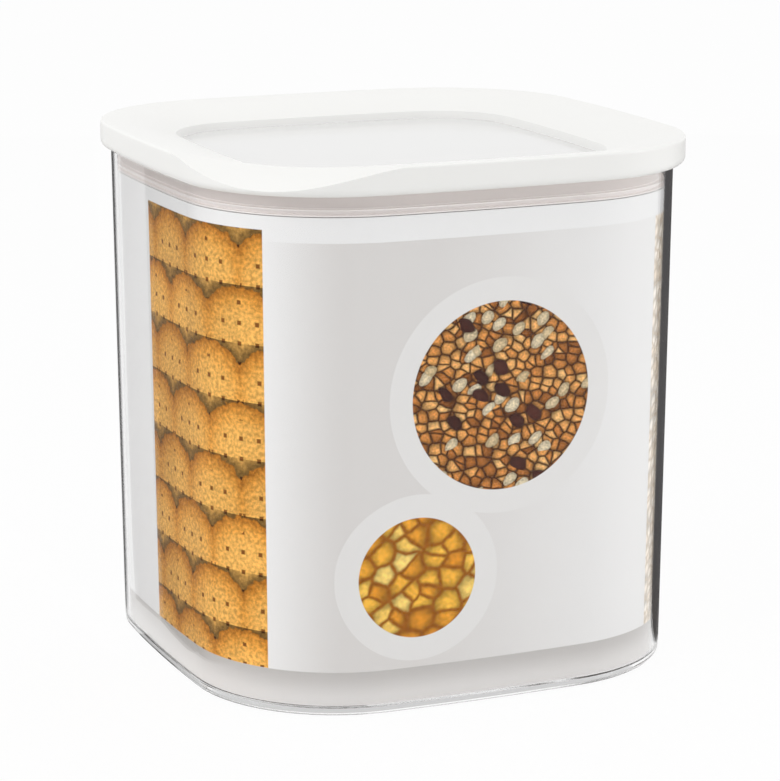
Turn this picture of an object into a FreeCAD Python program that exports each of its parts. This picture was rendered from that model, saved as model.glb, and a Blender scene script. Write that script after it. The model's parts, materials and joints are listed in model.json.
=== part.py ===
# A square dry-food storage box: a clear tub with a printed card sleeve inside, and a white lift-off lid
# with a dished top, a clear window, a plug that enters the tub and a seal round the plug.
# Millimetres, +Z up. The origin is the middle of the base, and the box stands on Z = 0.
# The lid's scooped corner, where a thumb lifts it, points along -X -Y.

import FreeCAD
import Part
import Sketcher
import math
import os

doc = FreeCAD.newDocument("storage_box")

# Driving sizes, each written once
SIZES = {
    # Plan shape: sides that bulge a little between round corners
    "side_bulge": 640.0,         # radius of every bulged side
    "container_width": 155.2,    # across the rim, between the middles of two sides
    "container_corner": 47.8,    # corner radius at the rim
    "lid_overhang": 2.4,         # how far the lid stands out past the rim
    "lid_corner": 46.0,
    # Tub
    "container_height": 153.0,   # floor to rim
    "container_draft": 1.5,      # how far each side leans in from rim to base
    "wall": 2.5,
    "floor_thickness": 2.6,
    "base_round": 2.0,
    "cavity_round": 0.5,
    "rim_round": 0.5,
    "foot_width": 8.0,           # ring that the tub stands on
    "foot_recess": 0.8,
    # Card sleeve
    "card_thickness": 0.5,
    "sleeve_clearance": 0.6,     # card to wall, more than the round at the floor
    "sleeve_headroom": 0.8,      # card to the underside of the plug
    # Lid cover
    "lid_height": 8.3,           # rim to crest
    "lid_low_round": 2.2,
    "lid_top_round": 0.8,
    "crest_land": 0.6,           # flat between the top round and the dish
    "skirt_wall": 2.6,
    "skirt_shoulder": 1.0,       # ledge inside the skirt that sits on the plug ring's flange
    "cover_wall": 2.0,
    "border_width": 22.5,        # lid's edge to the dish's inner edge
    "dish_corner": 26.0,
    "dish_drop": 4.7,            # crest to the dish's inner edge
    "dish_land": 0.4,            # flat between the dish and the window's bevel
    "window_bevel": 1.6,         # how far the bevel leans in towards the pane
    "scoop_length": 24.0,        # along the diagonal, from the corner's tip to the scoop's crest
    "scoop_lip": 0.5,            # cover left under the scoop at the corner's tip
    # Window
    "pane_thickness": 2.0,
    "pane_margin": 4.5,          # pane hidden beyond the window's edge
    # Plug ring
    "flange_thickness": 1.4,
    "fit_clearance": 0.2,        # between pieces of the lid that drop into each other
    "plug_depth": 7.2,
    "plug_wall": 2.2,
    "plug_clearance": 1.3,       # plug to the tub's wall
    "plate_thickness": 1.5,
    "plate_ledge": 3.0,          # how far the plate reaches in under the pane
    "pane_rib": 1.4,
    # Seal
    "seal_height": 2.8,
    "seal_offset": 0.7,          # plug's lower edge to the seal
    "groove_depth": 1.0,
    "seal_seat": 0.05,           # seal to the bottom of its groove
    "lip_thickness": 0.6,
    "lip_inset": 0.3,            # seal's faces to its lips
    "seal_clearance": 0.3,       # lips to the tub's wall
}

sheet = doc.addObject("Spreadsheet::Sheet", "Sizes")
for row, (alias, value) in enumerate(SIZES.items(), start=1):
    sheet.set(f"A{row}", alias)
    sheet.set(f"B{row}", str(value))
    sheet.setAlias(f"B{row}", alias)
doc.recompute()

# Heights, as expressions of the sheet's cells
RIM = "Sizes.container_height"
CREST = f"({RIM} + Sizes.lid_height)"
FLANGE_TOP = f"({RIM} + Sizes.flange_thickness)"
PANE_LOW = f"({FLANGE_TOP} - Sizes.pane_thickness)"
PLATE_LOW = f"({PANE_LOW} - Sizes.plate_thickness)"
PLUG_LOW = f"({RIM} - Sizes.plug_depth)"
SEAL_LOW = f"({PLUG_LOW} + Sizes.seal_offset)"
SEAL_TOP = f"({SEAL_LOW} + Sizes.seal_height)"
SLEEVE_TOP = f"({PLUG_LOW} - Sizes.sleeve_headroom)"
DISH_FLOOR = f"({CREST} - Sizes.dish_drop)"


def inset(outline, distance):
    """The outline that lies a distance inside another: all three of its sizes shrink alike."""
    return tuple(f"({size} - ({distance}))" for size in outline)


def wall_outline(height, depth="0"):
    """The tub's outline at a height, a depth in from its outer face. The walls lean in towards the base."""
    lean = f"Sizes.container_draft * ({RIM} - {height}) / {RIM}"
    return inset(RIM_OUTLINE, f"{lean} + {depth}")


# Outlines: half width, corner radius, bulge radius
RIM_OUTLINE = ("Sizes.container_width / 2", "Sizes.container_corner", "Sizes.side_bulge")
LID_HALF = "(Sizes.container_width / 2 + Sizes.lid_overhang)"
LID_OUTLINE = (LID_HALF, "Sizes.lid_corner", "Sizes.side_bulge")
DISH_OUTLINE = (f"({LID_HALF} - Sizes.border_width)", "Sizes.dish_corner", "Sizes.side_bulge")
BEVEL_OUTLINE = inset(DISH_OUTLINE, "Sizes.dish_land")
WINDOW_OUTLINE = inset(BEVEL_OUTLINE, "Sizes.window_bevel")
CREST_OUTLINE = inset(LID_OUTLINE, "Sizes.lid_top_round + Sizes.crest_land")
PANE_OUTLINE = inset(WINDOW_OUTLINE, "-Sizes.pane_margin")
PLUG_OUTLINE = wall_outline(PLUG_LOW, "Sizes.wall + Sizes.plug_clearance")


def add_body(name):
    body = doc.addObject("PartDesign::Body", name)
    body.Label = name
    return body


def add_sketch(body, name, role, height=None):
    """A sketch on one of the body's own planes, raised to a height where one is given."""
    sketch = body.newObject("Sketcher::SketchObject", name)
    plane = next(feature for feature in body.Origin.OriginFeatures if feature.Role == role)
    sketch.AttachmentSupport = [(plane, "")]
    sketch.MapMode = "FlatFace"
    if height is not None:
        sketch.setExpression("AttachmentOffset.Base.z", height)
    return sketch


def draw_outline(sketch, outline):
    """Four bulged sides and four round corners, tangent all the way round."""
    half, corner, bulge = (sketch.evalExpression(size) for size in outline)
    shift = bulge - half
    reach = (math.sqrt(2 * (bulge - corner) ** 2 - shift ** 2) - shift) / 2
    turn = math.atan2(reach, reach + shift)
    first = sketch.GeometryCount
    normal = FreeCAD.Vector(0, 0, 1)
    quarter = FreeCAD.Rotation(normal, 90)
    side_centre = FreeCAD.Vector(-shift, 0, 0)
    corner_centre = FreeCAD.Vector(reach, reach, 0)
    for side in range(4):
        start = side * math.pi / 2
        side_circle = Part.Circle(side_centre, normal, bulge)
        corner_circle = Part.Circle(corner_centre, normal, corner)
        sketch.addGeometry(Part.ArcOfCircle(side_circle, start - turn, start + turn), False)
        sketch.addGeometry(Part.ArcOfCircle(corner_circle, start + turn, start + math.pi / 2 - turn), False)
        side_centre = quarter.multVec(side_centre)
        corner_centre = quarter.multVec(corner_centre)
    for arc in range(8):
        following = (arc + 1) % 8
        sketch.addConstraint(Sketcher.Constraint("Tangent", first + arc, 2, first + following, 1))
    for side in range(4):
        arc = first + 2 * side
        axis = -1 if side % 2 == 0 else -2
        sketch.addConstraint(Sketcher.Constraint("PointOnObject", arc, 3, axis))
        distance = sketch.addConstraint(Sketcher.Constraint("Distance", arc, 3, -1, 1, shift))
        sketch.setExpression(f"Constraints[{distance}]", f"{outline[2]} - {outline[0]}")
        if side > 0:
            sketch.addConstraint(Sketcher.Constraint("Equal", first, arc))
            sketch.addConstraint(Sketcher.Constraint("Equal", first + 1, arc + 1))
    bulge_radius = sketch.addConstraint(Sketcher.Constraint("Radius", first, bulge))
    sketch.setExpression(f"Constraints[{bulge_radius}]", outline[2])
    corner_radius = sketch.addConstraint(Sketcher.Constraint("Radius", first + 1, corner))
    sketch.setExpression(f"Constraints[{corner_radius}]", outline[1])


def outline_sketch(body, name, height, *outlines):
    sketch = add_sketch(body, name, "XY_Plane", height)
    for outline in outlines:
        draw_outline(sketch, outline)
    doc.recompute()
    return sketch


def add_pad(body, name, height, thickness, *outlines, lean=None):
    """A flat plate or, with two outlines, a ring, from a height upwards. A lean widens it as it rises."""
    pad = body.newObject("PartDesign::Pad", name)
    pad.Profile = outline_sketch(body, f"{name}_outline", height, *outlines)
    pad.setExpression("Length", thickness)
    if lean is not None:
        pad.setExpression("TaperAngle", lean)
    doc.recompute()


def cut_pocket(body, name, height, depth, *outlines, lean=None):
    """Cuts a recess or a ring downwards from a height. A lean narrows it as it goes down."""
    before = body.Shape.Volume
    pocket = body.newObject("PartDesign::Pocket", name)
    pocket.Profile = outline_sketch(body, f"{name}_outline", height, *outlines)
    pocket.setExpression("Length", depth)
    if lean is not None:
        pocket.setExpression("TaperAngle", f"-{lean}")
    doc.recompute()
    check_cut(body, name, before)


def check_cut(body, name, before):
    if not body.Shape.Volume < before:
        raise RuntimeError(f"{name} cuts nothing from {body.Label}")


def level_edges(feature, height):
    """Names of the feature's edges that lie flat at a height."""
    level = feature.evalExpression(height)
    tolerance = 1e-4
    names = []
    for number, edge in enumerate(feature.Shape.Edges, start=1):
        box = edge.BoundBox
        if abs(box.ZMin - level) < tolerance and abs(box.ZMax - level) < tolerance:
            names.append(f"Edge{number}")
    return names


def round_edges(body, name, radius, height):
    """Rounds every edge that lies flat at a height."""
    base = body.Tip
    fillet = body.newObject("PartDesign::Fillet", name)
    fillet.Base = (base, level_edges(base, height))
    fillet.setExpression("Radius", radius)
    doc.recompute()


# Tub: one moulded piece with leaning walls, a flat rim and a foot ring round a shallow recess
WALL_LEAN = f"atan(Sizes.container_draft / {RIM})"
container = add_body("container")
add_pad(container, "tub_outside", "0", RIM, wall_outline("0"), lean=WALL_LEAN)
round_edges(container, "base_edge", "Sizes.base_round", "0")
cut_pocket(
    container, "cavity", RIM, f"{RIM} - Sizes.floor_thickness",
    wall_outline(RIM, "Sizes.wall"), lean=WALL_LEAN,
)
round_edges(container, "cavity_edge", "Sizes.cavity_round", "Sizes.floor_thickness")
round_edges(container, "rim_edges", "Sizes.rim_round", RIM)
cut_pocket(
    container, "foot_recess", "Sizes.foot_recess", "Sizes.foot_recess",
    wall_outline("0", "Sizes.foot_width"),
)

# Card sleeve: one printed sheet wrapped round inside the walls, standing on the floor
SLEEVE_DEPTH = "Sizes.wall + Sizes.sleeve_clearance"
SLEEVE_HEIGHT = f"{SLEEVE_TOP} - Sizes.floor_thickness"
card_sleeve = add_body("card_sleeve")
add_pad(
    card_sleeve, "sleeve_outside", "Sizes.floor_thickness", SLEEVE_HEIGHT,
    wall_outline("Sizes.floor_thickness", SLEEVE_DEPTH), lean=WALL_LEAN,
)
cut_pocket(
    card_sleeve, "sleeve_inside", SLEEVE_TOP, SLEEVE_HEIGHT,
    wall_outline(SLEEVE_TOP, f"{SLEEVE_DEPTH} + Sizes.card_thickness"), lean=WALL_LEAN,
)


def between(outer, inner, share):
    """The outline that lies a share of the way from one outline to another."""
    return tuple(f"({a} + ({b} - {a}) * {share})" for a, b in zip(outer, inner))


DISH_SHARES = (0, 0.25, 0.5, 0.75, 1)
DISH_EASE = 0.8


def cut_dish(body, name, down):
    """The lid's dished top, nearly level at the crest and steeper near the window, lowered by a distance."""
    before = body.Shape.Volume
    sections = []
    for number, share in enumerate(DISH_SHARES, start=1):
        fall = share * (1 - DISH_EASE * (1 - share))
        height = f"({CREST} - {down} - Sizes.dish_drop * {fall})"
        outline = between(CREST_OUTLINE, DISH_OUTLINE, share)
        sections.append(outline_sketch(body, f"{name}_section_{number}", height, outline))
    loft = body.newObject("PartDesign::SubtractiveLoft", name)
    loft.Profile = sections[0]
    loft.Sections = [(section, [""]) for section in sections[1:]]
    doc.recompute()
    check_cut(body, name, before)


# The scoop is round about an axis square to the lid's diagonal
SCOOP_FALL = "(Sizes.lid_height - Sizes.scoop_lip)"
SCOOP_RADIUS = f"((Sizes.scoop_length^2 + {SCOOP_FALL}^2) / (2 * {SCOOP_FALL}))"
CORNER_TIP = f"(({LID_HALF} - Sizes.lid_corner) * sqrt(2) + Sizes.lid_corner)"
SCOOP_START = f"({CORNER_TIP} - Sizes.scoop_length)"
NEAR_CORNER_TURN = 225.0
SCOOP_SPARE = 3.0


def cut_scoop(body, name, down):
    """Rounds the near corner off from the crest down to the lip, lowered by a distance."""
    before = body.Shape.Volume
    sketch = add_sketch(body, f"{name}_profile", "XZ_Plane")
    turn = FreeCAD.Rotation(FreeCAD.Vector(0, 1, 0), NEAR_CORNER_TURN)
    sketch.AttachmentOffset = FreeCAD.Placement(FreeCAD.Vector(), turn)
    radius_text = f"{SCOOP_RADIUS} - {down}"
    axis_height_text = f"{CREST} - {SCOOP_RADIUS}"
    end_text = f"{CORNER_TIP} + {SCOOP_SPARE}"
    top_text = f"{CREST} + {SCOOP_SPARE}"
    radius = sketch.evalExpression(radius_text)
    start = sketch.evalExpression(SCOOP_START)
    axis_height = sketch.evalExpression(axis_height_text)
    end = sketch.evalExpression(end_text)
    top = sketch.evalExpression(top_text)
    end_angle = math.acos((end - start) / radius)
    end_height = axis_height + radius * math.sin(end_angle)
    crest_point = FreeCAD.Vector(start, axis_height + radius, 0)
    inner_top = FreeCAD.Vector(start, top, 0)
    outer_top = FreeCAD.Vector(end, top, 0)
    outer_low = FreeCAD.Vector(end, end_height, 0)
    circle = Part.Circle(FreeCAD.Vector(start, axis_height, 0), FreeCAD.Vector(0, 0, 1), radius)
    arc = sketch.addGeometry(Part.ArcOfCircle(circle, end_angle, math.pi / 2), False)
    inner = sketch.addGeometry(Part.LineSegment(crest_point, inner_top), False)
    across = sketch.addGeometry(Part.LineSegment(inner_top, outer_top), False)
    outer = sketch.addGeometry(Part.LineSegment(outer_top, outer_low), False)
    sketch.addConstraint([
        Sketcher.Constraint("Coincident", arc, 2, inner, 1),
        Sketcher.Constraint("Coincident", inner, 2, across, 1),
        Sketcher.Constraint("Coincident", across, 2, outer, 1),
        Sketcher.Constraint("Coincident", outer, 2, arc, 1),
        Sketcher.Constraint("Vertical", inner),
        Sketcher.Constraint("Horizontal", across),
        Sketcher.Constraint("Vertical", outer),
        Sketcher.Constraint("Vertical", arc, 3, arc, 2),
    ])
    drivers = (
        (Sketcher.Constraint("Radius", arc, radius), radius_text),
        (Sketcher.Constraint("DistanceX", -1, 1, arc, 3, start), SCOOP_START),
        (Sketcher.Constraint("DistanceY", -1, 1, arc, 3, axis_height), axis_height_text),
        (Sketcher.Constraint("DistanceX", -1, 1, outer, 1, end), end_text),
        (Sketcher.Constraint("DistanceY", -1, 1, across, 1, top), top_text),
    )
    for constraint, text in drivers:
        sketch.setExpression(f"Constraints[{sketch.addConstraint(constraint)}]", text)
    doc.recompute()
    pocket = body.newObject("PartDesign::Pocket", name)
    pocket.Profile = sketch
    pocket.Midplane = True
    pocket.setExpression("Length", f"4 * {LID_HALF}")
    doc.recompute()
    check_cut(body, name, before)


# Lid cover: white moulded shell with a skirt, a dished border, a bevelled window and the scooped corner
cover_outside = add_body("cover_outside")
add_pad(cover_outside, "cover_block", RIM, "Sizes.lid_height", LID_OUTLINE)
round_edges(cover_outside, "cover_low_edge", "Sizes.lid_low_round", RIM)
round_edges(cover_outside, "cover_top_edge", "Sizes.lid_top_round", CREST)
cut_pocket(
    cover_outside, "flange_seat", FLANGE_TOP, "Sizes.flange_thickness",
    inset(LID_OUTLINE, "Sizes.skirt_wall"),
)
cut_dish(cover_outside, "dish", "0")
cut_pocket(
    cover_outside, "window_bevel", DISH_FLOOR, f"{DISH_FLOOR} - {FLANGE_TOP}",
    BEVEL_OUTLINE, lean=f"atan(Sizes.window_bevel / ({DISH_FLOOR} - {FLANGE_TOP}))",
)
cut_scoop(cover_outside, "scoop", "0")

# The hollow under the cover's border, a wall's thickness below its top
cover_hollow = add_body("cover_hollow")
add_pad(
    cover_hollow, "hollow_block", FLANGE_TOP,
    "Sizes.lid_height - Sizes.flange_thickness - Sizes.cover_wall",
    inset(LID_OUTLINE, "Sizes.skirt_wall + Sizes.skirt_shoulder"),
    inset(PANE_OUTLINE, "-(Sizes.fit_clearance + Sizes.pane_rib)"),
)
cut_dish(cover_hollow, "hollow_dish", "Sizes.cover_wall")
cut_scoop(cover_hollow, "hollow_scoop", "Sizes.cover_wall")

lid_cover = doc.addObject("Part::Cut", "lid_cover")
lid_cover.Label = "lid_cover"
lid_cover.Base = cover_outside
lid_cover.Tool = cover_hollow
doc.recompute()

# Window: a flat clear pane held between the cover and the plug ring's ledge
lid_window = add_body("lid_window")
add_pad(lid_window, "pane", PANE_LOW, "Sizes.pane_thickness", PANE_OUTLINE)

# Plug ring: white moulded ring whose flange sits on the rim and whose wall enters the tub
plug_core = inset(PLUG_OUTLINE, "Sizes.plug_wall / 2")
plug_inside = inset(PLUG_OUTLINE, "Sizes.plug_wall")
pane_pocket = inset(PANE_OUTLINE, "-Sizes.fit_clearance")
lid_plug_ring = add_body("lid_plug_ring")
add_pad(
    lid_plug_ring, "plug_tube", PLUG_LOW, f"{FLANGE_TOP} - {PLUG_LOW}",
    PLUG_OUTLINE, plug_inside,
)
add_pad(
    lid_plug_ring, "flange", RIM, "Sizes.flange_thickness",
    inset(LID_OUTLINE, "Sizes.skirt_wall + Sizes.fit_clearance"), plug_core,
)
add_pad(
    lid_plug_ring, "plate", PLATE_LOW, "Sizes.plate_thickness",
    plug_core, inset(PANE_OUTLINE, "Sizes.plate_ledge"),
)
add_pad(
    lid_plug_ring, "pane_rib", PANE_LOW, "Sizes.pane_thickness",
    inset(pane_pocket, "-Sizes.pane_rib"), pane_pocket,
)
cut_pocket(
    lid_plug_ring, "seal_groove", SEAL_TOP, "Sizes.seal_height",
    inset(PLUG_OUTLINE, "-Sizes.groove_depth"), inset(PLUG_OUTLINE, "Sizes.groove_depth"),
)

# Seal: a soft ring in the plug's groove, with two thin lips that reach for the wall
seal_back = inset(PLUG_OUTLINE, "Sizes.groove_depth - Sizes.seal_seat")
seal_face = inset(PLUG_OUTLINE, "-Sizes.seal_seat")
lip_outline = wall_outline(PLUG_LOW, "Sizes.wall + Sizes.seal_clearance")
lid_seal = add_body("lid_seal")
add_pad(lid_seal, "seal_base", SEAL_LOW, "Sizes.seal_height", seal_face, seal_back)
lip_heights = (
    ("low", f"{SEAL_LOW} + Sizes.lip_inset"),
    ("top", f"{SEAL_TOP} - Sizes.lip_inset - Sizes.lip_thickness"),
)
for place, height in lip_heights:
    add_pad(lid_seal, f"{place}_lip", height, "Sizes.lip_thickness", lip_outline, seal_back)

# Check every object, then write one file for each piece
PIECES = (container, card_sleeve, lid_cover, lid_window, lid_plug_ring, lid_seal)
for item in doc.Objects:
    if "Invalid" in item.State or "Error" in item.State:
        raise RuntimeError(f"{item.Label} failed: {item.State}")
for piece in PIECES:
    shape = piece.Shape
    if shape.isNull() or not shape.isValid() or len(shape.Solids) != 1:
        raise RuntimeError(f"{piece.Label} is not one sound solid")
os.makedirs("parts", exist_ok=True)
for piece in PIECES:
    piece.Shape.exportStep(f"parts/{piece.Label}.step")
    box = piece.Shape.BoundBox
    print(f"{piece.Label}: {piece.Shape.Volume / 1000:.2f} cm3, Z {box.ZMin:.2f} to {box.ZMax:.2f}")
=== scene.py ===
import json
import math

import bmesh
import bpy
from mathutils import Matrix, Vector

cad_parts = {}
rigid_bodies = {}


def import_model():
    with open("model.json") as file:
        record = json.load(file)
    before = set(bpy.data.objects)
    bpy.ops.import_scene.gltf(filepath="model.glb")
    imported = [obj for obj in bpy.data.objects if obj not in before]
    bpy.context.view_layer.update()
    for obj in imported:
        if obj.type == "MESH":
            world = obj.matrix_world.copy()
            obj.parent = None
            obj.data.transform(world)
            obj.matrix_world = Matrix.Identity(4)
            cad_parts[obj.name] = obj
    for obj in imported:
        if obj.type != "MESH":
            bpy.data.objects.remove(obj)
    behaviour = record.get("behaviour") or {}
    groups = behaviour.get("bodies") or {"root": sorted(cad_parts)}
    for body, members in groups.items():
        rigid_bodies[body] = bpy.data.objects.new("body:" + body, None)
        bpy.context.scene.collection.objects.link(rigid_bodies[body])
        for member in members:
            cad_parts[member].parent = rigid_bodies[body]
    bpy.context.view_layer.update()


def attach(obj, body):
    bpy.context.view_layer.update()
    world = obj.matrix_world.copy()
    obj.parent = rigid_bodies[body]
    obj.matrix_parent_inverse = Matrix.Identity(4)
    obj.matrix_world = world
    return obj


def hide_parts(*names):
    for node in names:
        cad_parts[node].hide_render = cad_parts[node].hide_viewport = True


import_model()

# The tub: one clear injection moulding that stands on a low foot ring. Its sides bulge slightly between
# large round corners and lean out towards a flat rim, so that it slips off its mould core.
MM = 0.001
SIDE_STEPS = 12
CORNER_STEPS = 22
TUB_RIM = (77.6, 47.8, 640.0)
TUB_HEIGHT = 153.0
TUB_LEAN = 1.5
TUB_WALL = 2.1
TUB_FLOOR = 2.6
FOOT_WIDTH = 8.0
FOOT_RECESS = 0.8
BASE_ROUND = 2.0
RIM_ROUND = 0.5
EDGE_FLAT = 0.4
WELD_GAP = 0.02


def inset(outline, distance):
    """An outline is a half width, a corner radius and a side radius. They shrink alike."""
    return tuple(size - distance for size in outline)


def leaning(outline, height):
    """The outline at a height of something that leans as the tub's wall does."""
    return inset(outline, TUB_LEAN * (TUB_HEIGHT - height) / TUB_HEIGHT)


def arc_centres(outline):
    """How far a side's centre lies behind the middle and a corner's lies out, and half a side's turn."""
    half, corner, bulge = outline
    behind = bulge - half
    out = (math.sqrt(2 * (bulge - corner) ** 2 - behind ** 2) - behind) / 2
    return behind, out, math.atan2(out, out + behind)


def start_piece(name):
    """An empty mesh, left in edit mode."""
    bpy.ops.object.select_all(action="DESELECT")
    bpy.ops.mesh.primitive_plane_add(size=MM)
    piece = bpy.context.object
    piece.name = name
    piece.data.name = name
    bpy.ops.object.mode_set(mode="EDIT")
    bpy.ops.mesh.select_all(action="SELECT")
    bpy.ops.mesh.delete(type="VERT")
    return piece


def edit_mesh(piece):
    """A piece's mesh in edit mode, and the layer that holds each point's ring number."""
    mesh = bmesh.from_edit_mesh(piece.data)
    ring_number = mesh.verts.layers.int.get("ring")
    if ring_number is None:
        ring_number = mesh.verts.layers.int.new("ring")
    return mesh, ring_number


def lay_ring(piece, number, outline):
    """Spins one point round the sides and corners, from the back's right end, and closes the ring."""
    behind, out, turn = arc_centres(outline)
    bulge = outline[2]
    start = Vector((bulge * math.sin(turn), bulge * math.cos(turn) - behind, number)) * MM
    bpy.ops.mesh.select_all(action="DESELECT")
    bpy.ops.mesh.primitive_plane_add(size=MM, location=start)
    bpy.ops.mesh.merge(type="CENTER")
    for quarter in range(1, 5):
        across = round(math.cos(quarter * math.pi / 2))
        along = round(math.sin(quarter * math.pi / 2))
        side_centre = (-behind * across * MM, -behind * along * MM, 0)
        corner_centre = (out * (across - along) * MM, out * (across + along) * MM, 0)
        bpy.ops.mesh.spin(steps=SIDE_STEPS, angle=2 * turn, center=side_centre, axis=(0, 0, -1))
        bpy.ops.mesh.spin(
            steps=CORNER_STEPS, angle=math.pi / 2 - 2 * turn, center=corner_centre, axis=(0, 0, -1)
        )
    bpy.ops.mesh.select_linked()
    bpy.ops.mesh.remove_doubles(threshold=WELD_GAP * MM)
    mesh, ring_number = edit_mesh(piece)
    for vertex in mesh.verts:
        if vertex.select:
            vertex[ring_number] = number


def select_rings(piece, *numbers):
    """Selects the rings with these numbers and nothing else."""
    bpy.ops.mesh.select_all(action="DESELECT")
    mesh, ring_number = edit_mesh(piece)
    for vertex in mesh.verts:
        vertex.select = vertex[ring_number] in numbers
    mesh.select_flush(True)
    bmesh.update_edit_mesh(piece.data)


def skin_rings(name, rings, closed):
    """Stacks rings of an outline, bridges each to the next and then moves each to its height.

    The first and last are capped, or joined to each other.
    """
    piece = start_piece(name)
    for number, (outline, _) in enumerate(rings, start=1):
        lay_ring(piece, number, outline)
    for number in range(1, len(rings)):
        select_rings(piece, number, number + 1)
        bpy.ops.mesh.bridge_edge_loops()
    if closed:
        select_rings(piece, len(rings), 1)
        bpy.ops.mesh.bridge_edge_loops()
    else:
        for end in (1, len(rings)):
            select_rings(piece, end)
            bpy.ops.mesh.edge_face_add()
    mesh, ring_number = edit_mesh(piece)
    for vertex in mesh.verts:
        vertex.co.z = rings[vertex[ring_number] - 1][1] * MM
    bmesh.update_edit_mesh(piece.data)
    bpy.ops.mesh.select_all(action="SELECT")
    bpy.ops.mesh.normals_make_consistent(inside=False)
    bpy.ops.object.mode_set(mode="OBJECT")
    return piece


def smooth(piece, angle=35):
    """Shades a piece smooth over edges up to an angle in degrees, and drops its ring numbers."""
    bpy.ops.object.select_all(action="DESELECT")
    piece.select_set(True)
    bpy.context.view_layer.objects.active = piece
    bpy.ops.object.shade_smooth_by_angle(angle=math.radians(angle))
    piece.data.attributes.remove(piece.data.attributes["ring"])


def quarter_round(depth, height, radius, first, last, steps=5):
    """Points of a round edge, as depths in from the outline and heights.

    Its angles are in degrees from straight out.
    """
    points = []
    for step in range(steps + 1):
        angle = math.radians(first + (last - first) * step / steps)
        points.append((depth - radius * math.cos(angle), height + radius * math.sin(angle)))
    return points


tub_section = [
    (FOOT_WIDTH, FOOT_RECESS),
    (FOOT_WIDTH, 0.0),
    (BASE_ROUND + EDGE_FLAT, 0.0),
    *quarter_round(BASE_ROUND, BASE_ROUND, BASE_ROUND, -90, 0, 8),
    (0.0, BASE_ROUND + EDGE_FLAT),
    (0.0, TUB_HEIGHT / 2),
    (0.0, TUB_HEIGHT - RIM_ROUND - EDGE_FLAT),
    *quarter_round(RIM_ROUND, TUB_HEIGHT - RIM_ROUND, RIM_ROUND, 0, 90),
    *quarter_round(TUB_WALL - RIM_ROUND, TUB_HEIGHT - RIM_ROUND, RIM_ROUND, 90, 180),
    (TUB_WALL, TUB_HEIGHT - RIM_ROUND - EDGE_FLAT),
    (TUB_WALL, TUB_HEIGHT / 2),
    (TUB_WALL, TUB_FLOOR + RIM_ROUND + EDGE_FLAT),
    *quarter_round(TUB_WALL + RIM_ROUND, TUB_FLOOR + RIM_ROUND, RIM_ROUND, 0, -90),
    (TUB_WALL + RIM_ROUND + EDGE_FLAT, TUB_FLOOR),
]
tub_rings = [(leaning(inset(TUB_RIM, depth), height), height) for depth, height in tub_section]
tub = skin_rings("tub", tub_rings, closed=False)
smooth(tub)


def add_node(material, kind, **settings):
    """A shader node with its settings. A setting that isn't the node's own is one of its inputs."""
    node = material.node_tree.nodes.new(kind)
    for name, value in settings.items():
        if hasattr(node, name):
            setattr(node, name, value)
        else:
            feed(material, node.inputs[name.replace("_", " ").title()], value)
    return node


def feed(material, socket, value):
    """Links a socket to another one, or sets it to a value."""
    if isinstance(value, bpy.types.NodeSocket):
        material.node_tree.links.new(value, socket)
    else:
        socket.default_value = value


def new_finish(name):
    """A new material and its main shader."""
    material = bpy.data.materials.new(name)
    material.use_nodes = True
    return material, material.node_tree.nodes["Principled BSDF"]


def calculate(material, operation, *values):
    """A sum on sockets or numbers."""
    node = add_node(material, "ShaderNodeMath", operation=operation)
    for socket, value in zip(node.inputs, values):
        feed(material, socket, value)
    return node.outputs[0]


def spread(material, value, low, high, to_low=0.0, to_high=1.0, kind="SMOOTHSTEP"):
    """Moves a value's range to another, held at both ends."""
    node = add_node(material, "ShaderNodeMapRange", interpolation_type=kind)
    for socket, number in zip(node.inputs, (value, low, high, to_low, to_high)):
        feed(material, socket, number)
    return node.outputs[0]


def mottle(material, scale, detail=3.0, where=None):
    """Noise over the piece at a scale per metre, or over other places in their own unit."""
    node = add_node(material, "ShaderNodeTexNoise", scale=scale, detail=detail)
    if where is None:
        where = add_node(material, "ShaderNodeTexCoord").outputs["Object"]
    feed(material, node.inputs["Vector"], where)
    return node.outputs[0]


def raise_surface(material, shader, height, depth_mm, strength):
    """Lets a pattern stand up from the surface."""
    bump = add_node(material, "ShaderNodeBump", strength=strength, distance=depth_mm * MM)
    feed(material, bump.inputs["Height"], height)
    feed(material, shader.inputs["Normal"], bump.outputs[0])


def show_either(material, share, first, second):
    """Shows a share of the second shader and the rest of the first."""
    either = add_node(material, "ShaderNodeMixShader")
    for socket, value in zip(either.inputs, (share, first.outputs[0], second.outputs[0])):
        feed(material, socket, value)
    surface = material.node_tree.nodes["Material Output"].inputs["Surface"]
    feed(material, surface, either.outputs[0])


PLASTIC_BENDING = 1.5


def clear_plastic(name, tint, mirror, clear_share):
    """Polished clear plastic with the faint unevenness of a moulding. Lamp light goes straight through."""
    material, shader = new_finish(name)
    shader.inputs["Base Color"].default_value = (*tint, 1)
    shader.inputs["Transmission Weight"].default_value = clear_share
    shader.inputs["IOR"].default_value = PLASTIC_BENDING
    shader.inputs["Specular Tint"].default_value = (mirror, mirror, mirror, 1)
    grain = mottle(material, 900.0)
    ripple = mottle(material, 45.0, 1.0)
    feed(material, shader.inputs["Roughness"], spread(material, grain, 0.35, 0.75, 0.015, 0.04))
    raise_surface(material, shader, ripple, depth_mm=0.02, strength=0.12)
    path = add_node(material, "ShaderNodeLightPath").outputs
    straight = calculate(material, "MAXIMUM", path["Is Shadow Ray"], path["Is Diffuse Ray"])
    through = add_node(material, "ShaderNodeBsdfTransparent")
    through.inputs["Color"].default_value = (*[channel * clear_share for channel in tint], 1)
    show_either(material, straight, shader, through)
    return material


TUB_TINT = (0.99, 0.99, 0.99)
tub_finish = clear_plastic("clear tub plastic", TUB_TINT, mirror=0.1, clear_share=1.0)
tub.data.materials.append(tub_finish)
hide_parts("container")
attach(tub, "container")

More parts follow.
